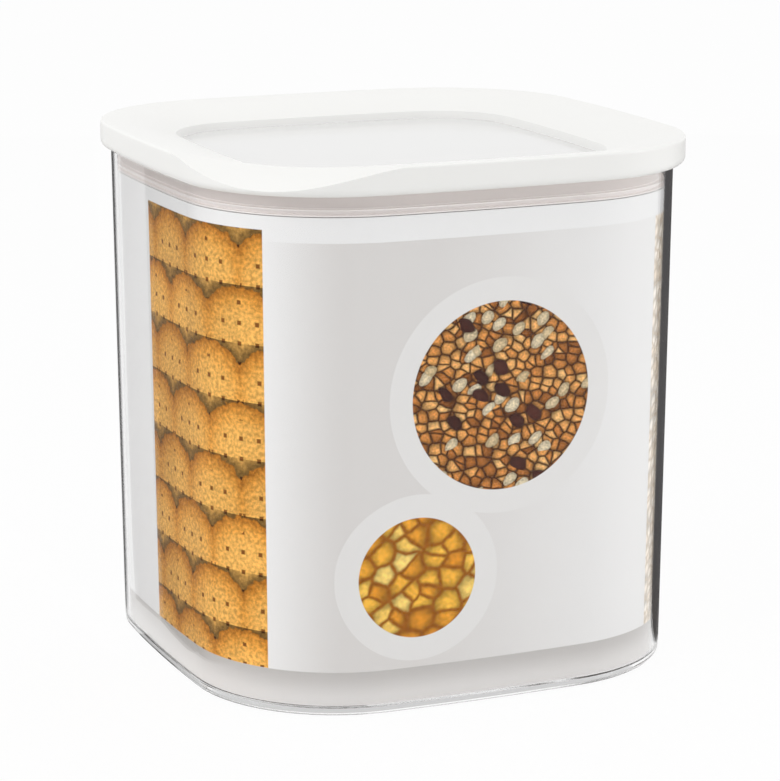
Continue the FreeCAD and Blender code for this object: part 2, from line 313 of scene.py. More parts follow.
# The card sleeve: a strip of thin coated card, printed on its outer face, rolled round inside the walls
# and standing loose on the floor. Its ends meet behind.
CARD_THICKNESS = 0.5
CARD_GAP = 0.3
CARD_TOP = 146.7
CARD_MIDDLE = 80.0
card_outer = inset(TUB_RIM, TUB_WALL + CARD_GAP)
card_inner = inset(card_outer, CARD_THICKNESS)
card = skin_rings(
    "printed_sleeve",
    [
        (leaning(card_outer, TUB_FLOOR), TUB_FLOOR),
        (leaning(card_outer, CARD_TOP), CARD_TOP),
        (leaning(card_inner, CARD_TOP), CARD_TOP),
        (leaning(card_inner, TUB_FLOOR), TUB_FLOOR),
    ],
    closed=True,
)
smooth(card)

card_plan = leaning(card_outer, CARD_MIDDLE)
card_behind, card_out, card_turn = arc_centres(card_plan)
SIDE_RUN = 2 * card_turn * card_plan[2]
CORNER_RUN = (math.pi / 2 - 2 * card_turn) * card_plan[1]
QUARTER_RUN = SIDE_RUN + CORNER_RUN
CARD_RUN = 4 * QUARTER_RUN


def run_along_card(x, y):
    """How far along the card a point lies, in mm to the right of the front's middle."""
    quarter = round(math.atan2(y, x) / (math.pi / 2))
    point = Vector((x, y, 0)) / MM
    across = round(math.cos(quarter * math.pi / 2))
    along = round(math.sin(quarter * math.pi / 2))
    ahead = point.x * across + point.y * along
    aside = point.y * across - point.x * along
    angle = math.atan2(aside, ahead + card_behind)
    if abs(angle) <= card_turn:
        run = angle * card_plan[2]
    else:
        bend = math.atan2(abs(aside) - card_out, ahead - card_out)
        run = math.copysign(SIDE_RUN / 2 + (bend - card_turn) * card_plan[1], aside)
    return run + (quarter + 1) * QUARTER_RUN


PRINT_START = 0.5
INNER_TOP = 0.48
flat_card = card.data.uv_layers.new(name="flat_card")
for face in card.data.polygons:
    face_run = run_along_card(face.center.x, face.center.y)
    face_run -= CARD_RUN * round(face_run / CARD_RUN)
    points_out = face.normal.x * face.center.x + face.normal.y * face.center.y > 0
    is_outer_face = points_out and abs(face.normal.z) < 0.5
    for loop in face.loop_indices:
        place = card.data.vertices[card.data.loops[loop].vertex_index].co
        run = run_along_card(place.x, place.y)
        run += CARD_RUN * round((face_run - run) / CARD_RUN)
        rise = (place.z / MM - TUB_FLOOR) / (CARD_TOP - TUB_FLOOR)
        map_rise = PRINT_START + (1 - PRINT_START) * rise if is_outer_face else INNER_TOP * rise
        flat_card.data[loop].uv = (run / CARD_RUN + 0.5, map_rise)

print_finish, card_shader = new_finish("printed card")


def reckon(operation, *values):
    """A sum on the card's print."""
    return calculate(print_finish, operation, *values)


def fade(value, low, high, to_low=0.0, to_high=1.0, kind="SMOOTHSTEP"):
    """A value of the card's print moved from one range to another, held at both ends."""
    return spread(print_finish, value, low, high, to_low, to_high, kind)


card_map = add_node(print_finish, "ShaderNodeUVMap", uv_map="flat_card")
map_place = add_node(print_finish, "ShaderNodeSeparateXYZ")
feed(print_finish, map_place.inputs[0], card_map.outputs[0])
run_mm = fade(map_place.outputs[0], 0.0, 1.0, -CARD_RUN / 2, CARD_RUN / 2, "LINEAR")
rise_mm = fade(map_place.outputs[1], PRINT_START, 1.0, TUB_FLOOR, CARD_TOP, "LINEAR")
is_printed = reckon("GREATER_THAN", map_place.outputs[1], (PRINT_START + INNER_TOP) / 2)
# The front's design comes again on the back
face_mm = reckon("WRAP", run_mm, CARD_RUN / 4, -CARD_RUN / 4)
EDGE_MM = 0.15


def blend_colours(material, share, first, second, blend_type="MIX"):
    """Mixes two colours. The node has them in its sockets 6 and 7, and gives the mix in socket 2."""
    node = add_node(material, "ShaderNodeMix", data_type="RGBA", blend_type=blend_type)
    for socket, value in zip((0, 6, 7), (share, first, second)):
        feed(material, node.inputs[socket], value)
    return node.outputs[2]


def paint(under, over, share):
    """One ink or colour over another."""
    return blend_colours(print_finish, share, under, over)


def shaded(colour, shade):
    """An ink made lighter or darker by a number."""
    return blend_colours(print_finish, 1.0, colour, shade, "MULTIPLY")


def outside_of(place, low, high):
    """How far a place lies outside a stretch, in mm. Inside it the number is below zero."""
    from_middle = reckon("ABSOLUTE", reckon("SUBTRACT", place, (low + high) / 2))
    return reckon("SUBTRACT", from_middle, (high - low) / 2)


def panel(run, left, right, low, high):
    """Where a plain upright panel is printed."""
    outside = reckon("MAXIMUM", outside_of(run, left, right), outside_of(rise_mm, low, high))
    return fade(outside, EDGE_MM, -EDGE_MM)


def length_of(aside, upright):
    """The distance that two square distances make."""
    squares = reckon("ADD", reckon("POWER", aside, 2.0), reckon("POWER", upright, 2.0))
    return reckon("SQRT", squares)


def disc(away, radius, edge=EDGE_MM):
    """Where a picture or a mark is printed, from the distance to its middle and its radius."""
    return fade(away, radius + edge, radius - edge)


def flat_point(across, up):
    """A place on the flat card."""
    point = add_node(print_finish, "ShaderNodeCombineXYZ")
    feed(print_finish, point.inputs[0], across)
    feed(print_finish, point.inputs[1], up)
    return point.outputs[0]


def pick_ink(value, inks):
    """An ink from a row of them, by a number from 0 to 1."""
    ramp = add_node(print_finish, "ShaderNodeValToRGB")
    stops = ramp.color_ramp.elements
    while len(stops) < len(inks):
        stops.new(0.5)
    for number, ink_colour in enumerate(inks):
        stops[number].position = number / (len(inks) - 1)
        stops[number].color = (*ink_colour, 1)
    feed(print_finish, ramp.inputs[0], value)
    return ramp.outputs[0]


def crumbs(run, per_mm, low, high):
    """A crumbly light and dark over a picture."""
    grain = mottle(print_finish, per_mm, 4.0, flat_point(run, rise_mm))
    return fade(grain, 0.36, 0.66, low, high, "LINEAR")


def cells(run, width, height, tilt, waver):
    """Loose cells of a size in mm.

    Gives the distance from each one's middle, two chance numbers for it, and the distance to its edge.
    """
    place = flat_point(run, rise_mm)
    bend = add_node(print_finish, "ShaderNodeTexNoise", scale=0.16, detail=2.0)
    feed(print_finish, bend.inputs["Vector"], place)
    bent = add_node(print_finish, "ShaderNodeVectorMath", operation="MULTIPLY_ADD")
    for socket, value in zip(bent.inputs, (bend.outputs["Color"], (waver, waver, 0), place)):
        feed(print_finish, socket, value)
    turned = add_node(print_finish, "ShaderNodeMapping", rotation=(0, 0, math.radians(tilt)))
    feed(print_finish, turned.inputs["Vector"], bent.outputs[0])
    sized = add_node(print_finish, "ShaderNodeMapping", scale=(1 / width, 1 / height, 1))
    feed(print_finish, sized.inputs["Vector"], turned.outputs[0])
    middles, edges = [
        add_node(print_finish, "ShaderNodeTexVoronoi", voronoi_dimensions="2D", feature=feature, scale=1.0)
        for feature in ("F1", "DISTANCE_TO_EDGE")
    ]
    for node in (middles, edges):
        feed(print_finish, node.inputs["Vector"], sized.outputs[0])
    chance = add_node(print_finish, "ShaderNodeSeparateColor")
    feed(print_finish, chance.inputs[0], middles.outputs["Color"])
    return middles.outputs["Distance"], chance.outputs[0], chance.outputs[1], edges.outputs["Distance"]


def heap(run, width, height, tilt, inks, gap_ink):
    """A heap of flakes or seeds, each in one of the inks, lit at its middle and dark between."""
    middle, chance, _, edge = cells(run, width, height, tilt, 0.5 * width)
    light = fade(middle, 0.05, 0.8, 1.2, 0.5)
    body = fade(edge, 0.0, 0.2)
    return paint((*gap_ink, 1), shaded(pick_ink(chance, inks), light), body)


SEED_SHADOW = (0.05, 0.02, 0.01, 1)


def scatter(under, run, width, height, tilt, share, inks):
    """Some seeds strewn over a picture, with a little shade round each."""
    middle, chance, other_chance, _ = cells(run, width, height, tilt, 0.3 * width)
    strewn = reckon("LESS_THAN", other_chance, share)
    shade = reckon("MULTIPLY", strewn, fade(middle, 0.56, 0.36, 0.0, 0.65))
    body = reckon("MULTIPLY", strewn, fade(middle, 0.4, 0.34))
    light = fade(middle, 0.0, 0.4, 1.15, 0.7)
    return paint(paint(under, SEED_SHADOW, shade), shaded(pick_ink(chance, inks), light), body)


# A soft grey over the front, darkest left of the middle, between a white strip above and a grey one below
WHITE_CARD = (0.925, 0.925, 0.925, 1)
GREY_INK = (0.76, 0.74, 0.725, 1)
STRIP_TOP = 13.0
PANEL_TOP = 139.4
FRONT_LEFT = -67.0
FRONT_RIGHT = 59.5
grey_rise = fade(face_mm, -72.0, -42.0)
grey_fall = fade(face_mm, -25.0, 50.0, 1.0, 0.25)
grey_share = reckon(
    "MULTIPLY",
    reckon("MULTIPLY", grey_rise, grey_fall),
    panel(face_mm, FRONT_LEFT, FRONT_RIGHT, STRIP_TOP, PANEL_TOP),
)
ink = paint(WHITE_CARD, GREY_INK, grey_share)

# Two round pictures in pale rings: mixed brown seeds, and golden kernels lower down beside them
BROWN_SEED_INKS = (
    (0.26, 0.085, 0.018), (0.54, 0.2, 0.045), (0.7, 0.3, 0.075), (0.8, 0.38, 0.11), (0.86, 0.52, 0.2)
)
PALE_SEED_INKS = ((0.66, 0.5, 0.28), (0.8, 0.7, 0.5))
DARK_SEED_INKS = ((0.045, 0.015, 0.012), (0.1, 0.03, 0.02))
KERNEL_INKS = ((0.74, 0.29, 0.022), (0.88, 0.43, 0.045), (0.94, 0.54, 0.07), (0.96, 0.7, 0.2))
PALE_RING_INK = (0.84, 0.83, 0.82, 1)
RING_WIDTH = 7.0
BROWN_GAP_INK = (0.07, 0.024, 0.008)
GOLD_GAP_INK = (0.36, 0.11, 0.006)
mixed_seeds = heap(
    face_mm, width=3.4, height=2.8, tilt=20.0, inks=BROWN_SEED_INKS, gap_ink=BROWN_GAP_INK
)
for width, height, tilt, share, inks in (
    (6.5, 4.2, -40.0, 0.3, PALE_SEED_INKS),
    (7.5, 5.0, 35.0, 0.16, DARK_SEED_INKS),
):
    mixed_seeds = scatter(mixed_seeds, face_mm, width, height, tilt, share, inks)
mixed_seeds = shaded(mixed_seeds, crumbs(face_mm, per_mm=1.5, low=0.7, high=1.25))
kernels = heap(face_mm, width=6.2, height=5.2, tilt=-35.0, inks=KERNEL_INKS, gap_ink=GOLD_GAP_INK)
kernels = shaded(kernels, crumbs(face_mm, per_mm=0.7, low=0.78, high=1.1))
for picture, middle_run, middle_height, radius in (
    (mixed_seeds, 4.0, 92.0, 28.0),
    (kernels, -22.0, 40.0, 18.0),
):
    picture_away = length_of(
        reckon("SUBTRACT", face_mm, middle_run), reckon("SUBTRACT", rise_mm, middle_height)
    )
    ink = paint(ink, PALE_RING_INK, disc(picture_away, radius + RING_WIDTH))
    ink = paint(ink, picture, disc(picture_away, radius))

# A tall picture of round tan wafers at the near corner. Each row lies over the row above it
WAFERS_LEFT = -130.5
WAFERS_TOP = 142.6
WAFER_RADIUS = 16.5
WAFER_EDGE = 0.3
WAFER_PITCH = 25.0
ROW_PITCH = 17.0
FIRST_ROW = STRIP_TOP - 6.0
BAKED_RIM = 10.5
WAFER_INKS = ((0.93, 0.5, 0.12), (0.91, 0.47, 0.105), (0.8, 0.36, 0.06), (0.46, 0.16, 0.014))
WAFER_GAP_INK = (0.1, 0.032, 0.008, 1)
PRICK_INK = (0.25, 0.09, 0.015, 1)
PRICK_PITCH = 6.0
PRICK_SIZE = 0.65
PRICK_EDGE = 0.2
PRICK_MARGIN = 4.5
SHADOW_REACH = 6.5
SHADOW_DEPTH = 0.22
row_count = reckon("DIVIDE", reckon("SUBTRACT", rise_mm, FIRST_ROW), ROW_PITCH)
lower_row = reckon("FLOOR", row_count)
wafer_crumbs = crumbs(run_mm, per_mm=0.9, low=0.72, high=1.28)
ragged_noise = mottle(print_finish, 0.35, 3.0, flat_point(run_mm, rise_mm))
ragged_edge = fade(ragged_noise, 0.3, 0.7, -0.9, 0.9, "LINEAR")


def wrapped(value, pitch):
    """A value that starts again at every pitch, counted from the middle of it."""
    return reckon("WRAP", value, pitch / 2, -pitch / 2)


def wafer_row(row):
    """One row of wafers: their distance from the middle in mm, and their ink."""
    shift = reckon("MULTIPLY", reckon("FLOORED_MODULO", row, 2.0), WAFER_PITCH / 2)
    shifted = reckon("ADD", run_mm, shift)
    aside = wrapped(shifted, WAFER_PITCH)
    upright = reckon("MULTIPLY", reckon("SUBTRACT", row_count, row), ROW_PITCH)
    away = reckon("ADD", length_of(aside, upright), ragged_edge)
    baked = fade(away, WAFER_RADIUS - BAKED_RIM, WAFER_RADIUS, 0.0, 1.0, "LINEAR")
    column = reckon("FLOOR", reckon("DIVIDE", shifted, WAFER_PITCH))
    batch = add_node(print_finish, "ShaderNodeTexWhiteNoise", noise_dimensions="2D")
    feed(print_finish, batch.inputs["Vector"], flat_point(column, row))
    batch_shade = fade(batch.outputs[0], 0.0, 1.0, 0.86, 1.1, "LINEAR")
    colour = shaded(shaded(pick_ink(baked, WAFER_INKS), batch_shade), wafer_crumbs)
    prick_away = reckon(
        "MAXIMUM",
        reckon("ABSOLUTE", wrapped(aside, PRICK_PITCH)),
        reckon("ABSOLUTE", wrapped(upright, PRICK_PITCH)),
    )
    inside_rim = reckon("LESS_THAN", away, WAFER_RADIUS - PRICK_MARGIN)
    pricked = reckon("MULTIPLY", disc(prick_away, PRICK_SIZE, PRICK_EDGE), inside_rim)
    return away, paint(colour, PRICK_INK, pricked)


upper_away, upper_ink = wafer_row(reckon("ADD", lower_row, 1.0))
lower_away, lower_ink = wafer_row(lower_row)
wafers = paint(WAFER_GAP_INK, upper_ink, disc(upper_away, WAFER_RADIUS, WAFER_EDGE))
wafers = shaded(wafers, fade(lower_away, WAFER_RADIUS, WAFER_RADIUS + SHADOW_REACH, SHADOW_DEPTH, 1.0))
wafers = paint(wafers, lower_ink, disc(lower_away, WAFER_RADIUS, WAFER_EDGE))
ink = paint(ink, wafers, panel(run_mm, WAFERS_LEFT, FRONT_LEFT, STRIP_TOP, WAFERS_TOP))

# A beige picture of oats on the right-hand side
OATS_RIGHT = 146.0
OAT_INKS = ((0.84, 0.71, 0.56), (0.91, 0.82, 0.7), (0.95, 0.89, 0.81))
OAT_GAP_INK = (0.66, 0.54, 0.4)
oats = heap(run_mm, width=2.6, height=4.2, tilt=30.0, inks=OAT_INKS, gap_ink=OAT_GAP_INK)
ink = paint(ink, oats, panel(run_mm, FRONT_RIGHT, OATS_RIGHT, STRIP_TOP, PANEL_TOP))

# The grey strip along the foot, darkest at its top, and the bare inner face
STRIP_LIGHT_INK = (0.81, 0.79, 0.775, 1)
STRIP_DARK_INK = (0.585, 0.565, 0.55, 1)
STRIP_FADE_START = 4.0
BARE_CARD = (0.9, 0.895, 0.88, 1)
strip_ink = paint(STRIP_LIGHT_INK, STRIP_DARK_INK, fade(rise_mm, STRIP_FADE_START, STRIP_TOP))
ink = paint(ink, strip_ink, fade(rise_mm, STRIP_TOP + EDGE_MM, STRIP_TOP - EDGE_MM))
ink = paint(BARE_CARD, ink, is_printed)

fibre = mottle(print_finish, 1500.0, 4.0)
feed(print_finish, card_shader.inputs["Base Color"], ink)
feed(print_finish, card_shader.inputs["Roughness"], fade(fibre, 0.3, 0.7, 0.42, 0.56))
raise_surface(print_finish, card_shader, fibre, depth_mm=0.02, strength=0.2)
card_shader.inputs["Specular IOR Level"].default_value = 0.15
card.data.materials.append(print_finish)
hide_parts("card_sleeve")
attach(card, "container")

# The plug ring: a matt white moulding under the lid. Its flange lies on the tub's rim, its wall goes down
# inside the tub, and a ledge with a low rib holds the window up against the cover.
LID_OUTLINE = (79.97, 45.97, 639.97)
DISH_OUTLINE = (57.5, 26.0, 640.0)
DISH_LAND = 0.4
WINDOW_BEVEL = 1.6
PANE_MARGIN = 4.5
PANE_THICKNESS = 2.0
SKIRT_WALL = 2.6
LID_FIT = 0.2
FLANGE_THICKNESS = 1.4
PLATE_THICKNESS = 1.5
PLATE_LEDGE = 3.0
PANE_RIB = 1.4
PLUG_DEPTH = 7.2
PLUG_WALL = 2.2
PLUG_INSET = 3.8
PLUG_EDGE = 0.4
GROOVE_RISE = 0.7
GROOVE_HEIGHT = 2.8
GROOVE_DEPTH = 1.0
FLANGE_TOP = TUB_HEIGHT + FLANGE_THICKNESS
PANE_LOW = FLANGE_TOP - PANE_THICKNESS
PLATE_LOW = PANE_LOW - PLATE_THICKNESS
PLUG_LOW = TUB_HEIGHT - PLUG_DEPTH
SEAL_LOW = PLUG_LOW + GROOVE_RISE
SEAL_TOP = SEAL_LOW + GROOVE_HEIGHT
plug_outline = leaning(inset(TUB_RIM, PLUG_INSET), PLUG_LOW)
plug_inner = inset(plug_outline, PLUG_WALL)
window_outline = inset(DISH_OUTLINE, DISH_LAND + WINDOW_BEVEL)
pane_outline = inset(window_outline, -PANE_MARGIN)
pane_pocket = inset(pane_outline, -LID_FIT)
rib_outline = inset(pane_pocket, -PANE_RIB)
flange_outline = inset(LID_OUTLINE, SKIRT_WALL + LID_FIT)
plug_toe = [
    (inset(plug_outline, depth), height)
    for middle, first, last in ((PLUG_WALL - PLUG_EDGE, 180, 270), (PLUG_EDGE, -90, 0))
    for depth, height in quarter_round(middle, PLUG_LOW + PLUG_EDGE, PLUG_EDGE, first, last, 3)
]
plug_ring = skin_rings(
    "plug_ring",
    [
        *plug_toe,
        (plug_outline, SEAL_LOW),
        (inset(plug_outline, GROOVE_DEPTH), SEAL_LOW),
        (inset(plug_outline, GROOVE_DEPTH), SEAL_TOP),
        (plug_outline, SEAL_TOP),
        (plug_outline, TUB_HEIGHT),
        (flange_outline, TUB_HEIGHT),
        (flange_outline, FLANGE_TOP),
        (plug_inner, FLANGE_TOP),
        (plug_inner, PANE_LOW),
        (rib_outline, PANE_LOW),
        (rib_outline, FLANGE_TOP),
        (pane_pocket, FLANGE_TOP),
        (pane_pocket, PANE_LOW),
        (inset(pane_outline, PLATE_LEDGE), PANE_LOW),
        (inset(pane_outline, PLATE_LEDGE), PLATE_LOW),
        (plug_inner, PLATE_LOW),
    ],
    closed=True,
)
smooth(plug_ring)


def moulded_finish(name, colours, patches, grain, detail, roughness, bump):
    """Opaque plastic in patches of two near colours, with a fine grain in its gloss and its surface."""
    material, shader = new_finish(name)
    fine_grain = mottle(material, grain, detail)
    colour = blend_colours(material, mottle(material, patches), *colours)
    feed(material, shader.inputs["Base Color"], colour)
    feed(material, shader.inputs["Roughness"], spread(material, fine_grain, 0.3, 0.7, *roughness))
    raise_surface(material, shader, fine_grain, *bump)
    return material


# The plug is white plastic, but its colours are a darker, warmer grey than the cover's: painted shade for
# the shade that the lid's skirt casts on it.
plug_finish = moulded_finish(
    "white plug plastic darkened as painted shade",
    colours=((0.77, 0.715, 0.69, 1), (0.81, 0.755, 0.73, 1)),
    patches=60.0, grain=1200.0, detail=4.0, roughness=(0.48, 0.62), bump=(0.03, 0.3),
)
plug_ring.data.materials.append(plug_finish)
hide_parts("lid_plug_ring")
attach(plug_ring, "lid")

# The seal: a soft pale silicone ring stretched into the plug's groove, with two thin lips that wipe
# the tub's wall.
SEAL_SEAT = 0.05
LIP_INSET = 0.3
LIP_THICKNESS = 0.6
LIP_TAPER = 0.12
LIP_REACH = 2.5
lip_outline = leaning(inset(TUB_RIM, LIP_REACH), PLUG_LOW)
seal_back = inset(plug_outline, GROOVE_DEPTH - SEAL_SEAT)
seal_face = inset(plug_outline, -SEAL_SEAT)
seal_rings = [(seal_back, SEAL_LOW), (seal_face, SEAL_LOW)]
for lip_low in (SEAL_LOW + LIP_INSET, SEAL_TOP - LIP_INSET - LIP_THICKNESS):
    seal_rings += [
        (seal_face, lip_low),
        (lip_outline, lip_low + LIP_TAPER),
        (lip_outline, lip_low + LIP_THICKNESS - LIP_TAPER),
        (seal_face, lip_low + LIP_THICKNESS),
    ]
seal_rings += [(seal_face, SEAL_TOP), (seal_back, SEAL_TOP)]
seal = skin_rings("seal", seal_rings, closed=True)
smooth(seal)
seal_finish = moulded_finish(
    "pale silicone",
    colours=((0.94, 0.895, 0.875, 1), (0.97, 0.925, 0.905, 1)),
    patches=700.0, grain=700.0, detail=3.0, roughness=(0.35, 0.5), bump=(0.02, 0.2),
)
seal.data.materials.append(seal_finish)
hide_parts("lid_seal")
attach(seal, "lid")

# The window: a flat, slightly milky pane cut from clear sheet. It is laid inside the plug ring's rib, on
# its ledge, and is trapped there under the edge of the cover.
PANE_EDGE = 0.3
window = skin_rings(
    "window_pane",
    [
        (inset(pane_outline, depth), height)
        for depth, height in (
            (PANE_EDGE + EDGE_FLAT, PANE_LOW),
            *quarter_round(PANE_EDGE, PANE_LOW + PANE_EDGE, PANE_EDGE, -90, 0, 3),
            *quarter_round(PANE_EDGE, FLANGE_TOP - PANE_EDGE, PANE_EDGE, 0, 90, 3),
            (PANE_EDGE + EDGE_FLAT, FLANGE_TOP),
        )
    ],
    closed=False,
)
smooth(window)
PANE_TINT = (0.96, 0.955, 0.945)
pane_finish = clear_plastic("milky clear pane plastic", PANE_TINT, mirror=1.0, clear_share=0.25)
window.data.materials.append(pane_finish)
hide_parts("lid_window")
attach(window, "lid")

# The cover: a satin white moulding with a short skirt. Its border dishes down to a bevelled edge round
# the window, and one corner is scooped off as a thumb rest for lifting the lid.
CREST_RISE = 8.3
CREST = TUB_HEIGHT + CREST_RISE
SKIRT_ROUND = 2.2
CREST_ROUND = 0.8
CREST_LAND = 0.6
DISH_DROP = 4.7
DISH_EASE = 0.8
COVER_WALL = 2.0
SKIRT_SHOULDER = 1.0
SCOOP_LENGTH = 24.0
SCOOP_LIP = 0.5
SCOOP_STEPS = 48
SCOOP_REACH = 120.0
SCOOP_OVERRUN = 3.0
CUTTER_HEIGHT = 20.0
CEILING_GAP = 0.05
BEVEL_EDGE = 0.25
BEVEL_SLOPE = 1.3
LAND_FALL = 0.06
DISH_STEPS = 14
SHOULDER_SHARE = 0.1
RIB_SHARE = 0.8
scoop_fall = CREST_RISE - SCOOP_LIP
scoop_radius = (SCOOP_LENGTH ** 2 + scoop_fall ** 2) / (2 * scoop_fall)
corner_tip = (LID_OUTLINE[0] - LID_OUTLINE[1]) * math.sqrt(2) + LID_OUTLINE[1]
scoop_start = corner_tip - SCOOP_LENGTH
crest_outline = inset(LID_OUTLINE, CREST_ROUND + CREST_LAND)
dish_floor = CREST - DISH_DROP


def dish_ring(share, down):
    """The dish's outline and height, a share of the way in from the crest to the window's edge."""
    outline = tuple(a + (b - a) * share for a, b in zip(crest_outline, DISH_OUTLINE))
    return outline, CREST - down - DISH_DROP * share * (1 - DISH_EASE * (1 - share))


hollow_outline = inset(LID_OUTLINE, SKIRT_WALL + SKIRT_SHOULDER)
hollow_shares = [0.12, 0.24, 0.36, 0.48, 0.6, 0.7]
cover_rings = [
    (window_outline, FLANGE_TOP),
    (inset(DISH_OUTLINE, DISH_LAND + BEVEL_EDGE), dish_floor - BEVEL_EDGE * BEVEL_SLOPE),
    (inset(DISH_OUTLINE, DISH_LAND), dish_floor - LAND_FALL),
    *[dish_ring(step / DISH_STEPS, 0.0) for step in range(DISH_STEPS, -1, -1)],
    *[(inset(LID_OUTLINE, depth), height)
      for depth, height in quarter_round(CREST_ROUND, CREST - CREST_ROUND, CREST_ROUND, 90, 0, 10)],
    (LID_OUTLINE, CREST - CREST_ROUND - EDGE_FLAT),
    (LID_OUTLINE, TUB_HEIGHT + SKIRT_ROUND + EDGE_FLAT),
    *[(inset(LID_OUTLINE, depth), height)
      for depth, height in quarter_round(SKIRT_ROUND, TUB_HEIGHT + SKIRT_ROUND, SKIRT_ROUND, 0, -90, 12)],
    (inset(LID_OUTLINE, SKIRT_WALL), TUB_HEIGHT),
    (inset(LID_OUTLINE, SKIRT_WALL), FLANGE_TOP),
    (hollow_outline, FLANGE_TOP),
    (hollow_outline, dish_ring(SHOULDER_SHARE, COVER_WALL)[1]),
    *[dish_ring(share, COVER_WALL) for share in hollow_shares],
    (rib_outline, dish_ring(RIB_SHARE, COVER_WALL)[1]),
    (rib_outline, FLANGE_TOP),
]
cover = skin_rings("lid_cover_shell", cover_rings, closed=True)

# The scoop is cut along an arc whose axis is square to the lid's diagonal
near_corner = Vector((-1, -1, 0)).normalized()
axis_line = Vector((0, 0, 1)).cross(near_corner)
scoop_axis = near_corner * scoop_start * MM + Vector((0, 0, (CREST - scoop_radius) * MM))
scoop_sweep = math.asin((SCOOP_LENGTH + SCOOP_OVERRUN) / scoop_radius)
cutter = start_piece("scoop_cutter")
arc_start = near_corner * scoop_start * MM + Vector((0, 0, CREST * MM)) - axis_line * SCOOP_REACH / 2 * MM
bpy.ops.mesh.primitive_plane_add(size=MM, location=arc_start)
bpy.ops.mesh.merge(type="CENTER")
bpy.ops.mesh.spin(steps=SCOOP_STEPS, angle=scoop_sweep, center=scoop_axis, axis=-axis_line)
bpy.ops.mesh.extrude_vertices_move(TRANSFORM_OT_translate={"value": (0, 0, CUTTER_HEIGHT * MM)})
bpy.ops.mesh.select_all(action="SELECT")
bpy.ops.mesh.edge_face_add()
bpy.ops.mesh.extrude_region_move(TRANSFORM_OT_translate={"value": axis_line * SCOOP_REACH * MM})
bpy.ops.mesh.select_all(action="SELECT")
bpy.ops.mesh.normals_make_consistent(inside=False)
bpy.ops.object.mode_set(mode="OBJECT")

# Under the scoop the hollow's ceiling follows it, a wall's thickness below
ceiling_rings = range(len(cover_rings) - len(hollow_shares) - 2, len(cover_rings))
for vertex, ring in zip(cover.data.vertices, cover.data.attributes["ring"].data):
    along = vertex.co.dot(near_corner) / MM - scoop_start
    if ring.value in ceiling_rings and along > 0:
        below_scoop = CREST - scoop_radius + math.sqrt(scoop_radius ** 2 - along ** 2) - COVER_WALL
        vertex.co.z = max(FLANGE_TOP + CEILING_GAP, min(vertex.co.z / MM, below_scoop)) * MM
bpy.ops.object.select_all(action="DESELECT")
cover.select_set(True)
bpy.context.view_layer.objects.active = cover
cut = cover.modifiers.new("scoop", "BOOLEAN")
cut.operation = "DIFFERENCE"
cut.solver = "EXACT"
cut.object = cutter
bpy.ops.object.modifier_apply(modifier="scoop")
bpy.data.objects.remove(cutter)
smooth(cover, 12)
cover_finish = moulded_finish(
    "satin white lid plastic",
    colours=((0.885, 0.882, 0.862, 1), (0.9, 0.897, 0.877, 1)),
    patches=25.0, grain=1100.0, detail=4.0, roughness=(0.3, 0.42), bump=(0.02, 0.2),
)
cover.data.materials.append(cover_finish)
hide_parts("lid_cover")
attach(cover, "lid")

# The studio: a pale floor in a white room, with large soft lamps above, to the left and to the right in
# front. Seen by the camera the floor is almost its own white, with a little of the box's shadow on it.
FLOOR_SIZE = 8.0
FLOOR_LEVEL = -0.0003
FLOOR_WHITE_SEEN = 0.95
FLOOR_WHITE_MIRRORED = 0.6
ROOM_STRENGTH = 0.66
LIGHT_BOUNCES = 32
BOX_MIDDLE = Vector((0, 0, 0.08))


def seen_and_mirrored(material):
    """Which rays come from the camera, and which by a mirror or through something clear."""
    path = add_node(material, "ShaderNodeLightPath").outputs
    mirrored = calculate(material, "MAXIMUM", path["Is Glossy Ray"], path["Is Transmission Ray"])
    return path["Is Camera Ray"], mirrored


bpy.ops.mesh.primitive_plane_add(size=FLOOR_SIZE, location=(0, 0, FLOOR_LEVEL))
floor = bpy.context.object
floor.name = "floor"
floor_finish, floor_shader = new_finish("pale floor")
floor_shader.inputs["Base Color"].default_value = (0.86, 0.86, 0.86, 1)
floor_shader.inputs["Roughness"].default_value = 0.7
floor_seen, floor_mirrored = seen_and_mirrored(floor_finish)
floor_white = calculate(
    floor_finish,
    "MAXIMUM",
    calculate(floor_finish, "MULTIPLY", floor_seen, FLOOR_WHITE_SEEN),
    calculate(floor_finish, "MULTIPLY", floor_mirrored, FLOOR_WHITE_MIRRORED),
)
floor_glow = add_node(floor_finish, "ShaderNodeEmission", strength=1.0)
show_either(floor_finish, floor_white, floor_shader, floor_glow)
floor.data.materials.append(floor_finish)

scene = bpy.context.scene
scene.view_settings.view_transform = "Standard"
scene.cycles.max_bounces = LIGHT_BOUNCES
scene.cycles.glossy_bounces = LIGHT_BOUNCES
scene.cycles.transmission_bounces = LIGHT_BOUNCES
room = bpy.data.worlds.new("white room")
room.use_nodes = True
room_light = room.node_tree.nodes["Background"]
room_light.inputs["Color"].default_value = (1, 1, 1, 1)
room_shown = calculate(room, "MAXIMUM", *seen_and_mirrored(room))
feed(room, room_light.inputs["Strength"], spread(room, room_shown, 0.0, 1.0, ROOM_STRENGTH, 1.0, "LINEAR"))
scene.world = room


def hang_lamp(name, place, size, watts):
    """A square soft lamp that faces the box."""
    lamp = bpy.data.lights.new(name, "AREA")
    lamp.size = size
    lamp.energy = watts
    holder = bpy.data.objects.new(name, lamp)
    scene.collection.objects.link(holder)
    holder.location = place
    holder.rotation_euler = (BOX_MIDDLE - Vector(place)).to_track_quat("-Z", "Y").to_euler()


hang_lamp("top_softbox", place=(0.0, 0.0, 1.5), size=1.2, watts=3.4)
hang_lamp("left_softbox", place=(-1.35, -0.15, 0.85), size=0.9, watts=7.4)
hang_lamp("right_softbox", place=(1.3, -0.8, 0.55), size=0.9, watts=6.3)

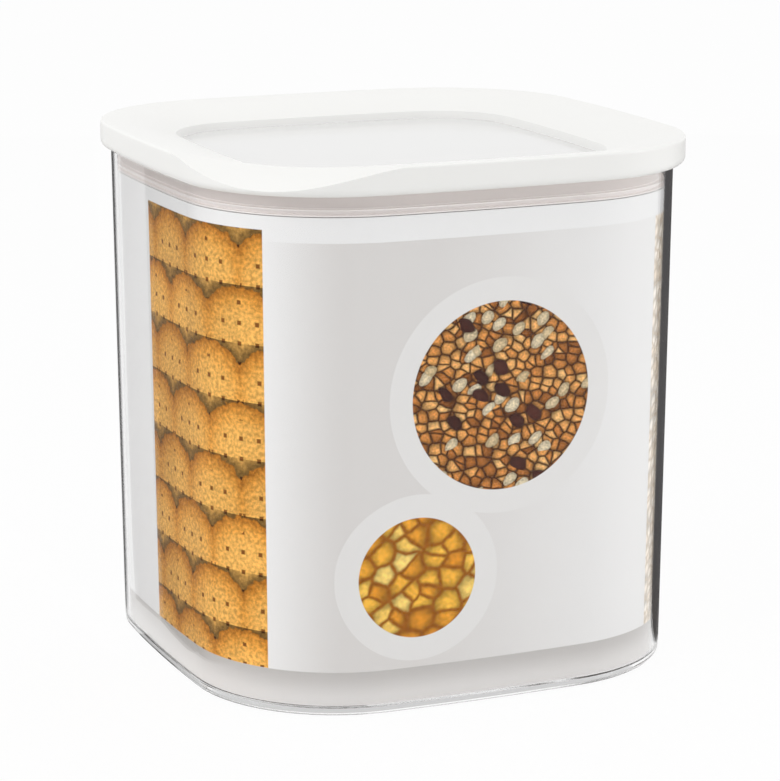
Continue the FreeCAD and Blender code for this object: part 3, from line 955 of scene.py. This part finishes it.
CAMERA_TURN = math.radians(-23.036)
CAMERA_RISE = math.radians(12.9845)
CAMERA_DISTANCE = 0.92025
FOCAL_PIXELS = 2948.83
SHIFT_PIXELS = (2.57, -7.29)
PICTURE_HEIGHT = 781
camera = bpy.data.cameras.new("camera")
camera.lens = camera.sensor_width * FOCAL_PIXELS / PICTURE_HEIGHT
camera.shift_x, camera.shift_y = [shift / PICTURE_HEIGHT for shift in SHIFT_PIXELS]
camera_stand = bpy.data.objects.new("camera", camera)
scene.collection.objects.link(camera_stand)
backwards = Vector((
    math.sin(CAMERA_TURN) * math.cos(CAMERA_RISE),
    -math.cos(CAMERA_TURN) * math.cos(CAMERA_RISE),
    math.sin(CAMERA_RISE),
))
camera_stand.location = BOX_MIDDLE + backwards * CAMERA_DISTANCE
camera_stand.rotation_euler = (-backwards).to_track_quat("-Z", "Y").to_euler()
scene.camera = camera_stand

# Dark and grey papers lie on the floor, hidden from the camera, from bounce light and from shadows. They
# show only where the box's clear edges and its left side mirror them,
# and through its clear plastic: painted dark and grey reflections. They lie behind it on the right and on
# the left, beside it, and under its near foot, where the dark paper seen through the clear base is painted
# shade under the foot.
PAPER_LEVEL = -0.0001
DARK_REFLECTION_AND_SHADE_PAPER = (0.09, 0.087, 0.088, 1)
GREY_REFLECTION_PAPER = (0.5, 0.49, 0.49, 1)
for paper_name, shade, corners in (
    ("right_paper", DARK_REFLECTION_AND_SHADE_PAPER, ((0.0743, -0.049), (1.739, 0.46), (0.404, 1.028))),
    ("left_paper", DARK_REFLECTION_AND_SHADE_PAPER, ((-0.074, 0.0488), (0.245, 1.087), (-0.094, 1.231))),
    ("side_paper", DARK_REFLECTION_AND_SHADE_PAPER, (
        (-0.0885, 0.035), (-0.443, 1.147), (-1.3, 0.5), (-1.3, -0.9), (-0.2, -0.9),
        (-0.056, -0.106), (-0.074, -0.097), (-0.0945, -0.075), (-0.104, -0.035), (-0.0876, 0.0015),
    )),
    ("back_paper", GREY_REFLECTION_PAPER, ((-0.0847, 0.0622), (-0.324, 1.154), (-0.443, 1.147), (-0.0885, 0.035))),
    # A dark ring under the near foot, seen through the clear base: painted shade where the foot stands on
    # the floor.
    ("painted_shade_under_foot", DARK_REFLECTION_AND_SHADE_PAPER, (
        (-0.079, 0.025), (-0.079, -0.0298), (-0.0724, -0.0544), (-0.0544, -0.0724), (-0.0383, -0.0783),
        (-0.0372, -0.072), (-0.0512, -0.0669), (-0.0669, -0.0512), (-0.0726, -0.0298), (-0.0726, 0.025),
    )),
):
    paper_mesh = bpy.data.meshes.new(paper_name)
    paper_mesh.from_pydata([(x, y, 0) for x, y in corners], [], [range(len(corners))])
    paper_finish, paper_shader = new_finish(paper_name)
    paper_shader.inputs["Base Color"].default_value = shade
    paper_shader.inputs["Roughness"].default_value = 0.9
    paper_shader.inputs["Specular IOR Level"].default_value = 0.0
    paper_mesh.materials.append(paper_finish)
    paper = bpy.data.objects.new(paper_name, paper_mesh)
    paper.location.z = PAPER_LEVEL
    paper.visible_camera = False
    paper.visible_diffuse = False
    paper.visible_shadow = False
    scene.collection.objects.link(paper)
